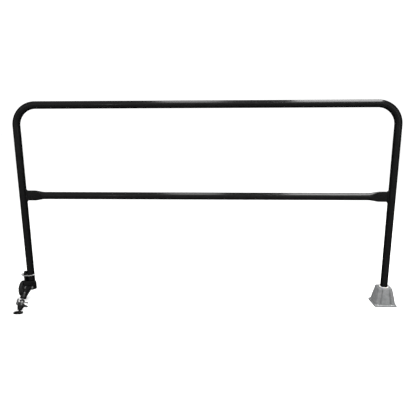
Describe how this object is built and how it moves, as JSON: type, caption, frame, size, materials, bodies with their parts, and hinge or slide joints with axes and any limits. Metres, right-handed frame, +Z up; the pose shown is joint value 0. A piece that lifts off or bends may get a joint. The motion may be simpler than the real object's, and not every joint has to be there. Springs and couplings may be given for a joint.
{
  "type": "pool handrail",
  "caption": "Swing-away pool handrail: black tube hoop with a mid rail, a cast deck base at one leg, and a wheel and fold-down screw-jack foot at the other.",
  "frame": {"origin": "centre of the deck base's underside, on the axis of the right leg", "axes": "+X along the rail towards the deck base, +Z up, -Y is the side that the stabiliser folds down on"},
  "size_m": [2.0675, 0.2549, 1.0715],
  "materials": {
    "black_coat": "gloss black powder coat",
    "bracket_coat": "satin black powder coat",
    "cast_aluminium": "as cast, light bead blast",
    "nylon": "white moulded nylon",
    "plug_plastic": "black moulded",
    "zinc_steel": "bright zinc plate",
    "tyre_rubber": "black rubber",
    "hub_plastic": "black glass-filled nylon",
    "bronze": "sintered bronze",
    "knob_plastic": "black moulded",
    "pad_rubber": "matt black rubber"
  },
  "bodies": {
    "deck_base": {"base_casting": "cast_aluminium", "pivot_bush": "nylon", "thrust_disc": "nylon", "pivot_set_screw": "zinc_steel"},
    "rail": {"hoop_tube": "black_coat", "mid_rail": "black_coat", "mid_rail_weld_left": "black_coat", "mid_rail_weld_right": "black_coat", "leg_plug": "plug_plastic", "leg_collar": "bracket_coat", "wheel_lug": "bracket_coat", "front_plate": "bracket_coat", "stabiliser_yoke": "bracket_coat", "axle_stud": "zinc_steel", "axle_spacer": "zinc_steel", "axle_washer": "zinc_steel", "axle_nut": "zinc_steel", "arm_pivot_bolt": "zinc_steel", "arm_pivot_washer_left": "zinc_steel", "arm_pivot_washer_right": "zinc_steel", "arm_pivot_nut": "zinc_steel"},
    "wheel": {"wheel_tyre": "tyre_rubber", "wheel_hub": "hub_plastic", "wheel_bush": "bronze"},
    "lock_pin": {"lock_pin": "zinc_steel"},
    "pin_bail": {"pin_bail": "zinc_steel"},
    "stabiliser": {"stabiliser_arm": "bracket_coat"},
    "jack_carriage": {"jack_cone": "bracket_coat"},
    "jack_screw": {"jack_spindle": "zinc_steel", "jack_collar": "bracket_coat", "screw_head": "zinc_steel", "wing_knob": "knob_plastic"},
    "tommy_bar": {"tommy_bar": "zinc_steel"},
    "foot": {"foot_plate": "bracket_coat", "foot_pad": "pad_rubber"}
  },
  "joints": [
    {"name": "rail_swing", "type": "hinge", "parent": "deck_base", "child": "rail", "pos_m": [0, 0, 0.05], "axis": [0, 0, 1], "range_deg": [-90, 90]},
    {"name": "wheel_roll", "type": "hinge", "parent": "rail", "child": "wheel", "pos_m": [-1.97925, 0, 0.058], "axis": [1, 0, 0], "continuous": true},
    {"name": "pin_pull", "type": "slide", "parent": "rail", "child": "lock_pin", "axis": [-1, 0, 0], "range_m": [0, 0.045]},
    {"name": "bail_swing", "type": "hinge", "parent": "lock_pin", "child": "pin_bail", "pos_m": [-1.9765, 0, 0.14], "axis": [0, 0, -1], "range_deg": [0, 100]},
    {"name": "arm_fold", "type": "hinge", "parent": "rail", "child": "stabiliser", "pos_m": [-1.9175, -0.058, 0.087], "axis": [-1, 0, 0], "range_deg": [0, 95]},
    {"name": "jack_slide", "type": "slide", "parent": "stabiliser", "child": "jack_carriage", "axis": [0, -0.7314, -0.682], "range_m": [-0.011, 0.02]},
    {"name": "screw_turn", "type": "hinge", "parent": "jack_carriage", "child": "jack_screw", "pos_m": [-1.9175, -0.128, 0.0665], "axis": [0, -0.7314, -0.682], "range_deg": [-2270, 4120]},
    {"name": "bar_slide", "type": "slide", "parent": "jack_screw", "child": "tommy_bar", "axis": [0.9945, 0.0713, -0.0764], "range_m": [-0.0145, 0.0025]},
    {"name": "foot_tilt", "type": "hinge", "parent": "jack_carriage", "child": "foot", "pos_m": [-1.9175, -0.18698, 0.0115], "axis": [-1, 0, 0], "range_deg": [-5, 40]}
  ],
  "couplings": [
    {"joint": "bail_swing", "follows": "pin_pull", "rad_per_m": 38.76},
    {"joint": "screw_turn", "follows": "jack_slide", "rad_per_m": 3590.4}
  ]
}
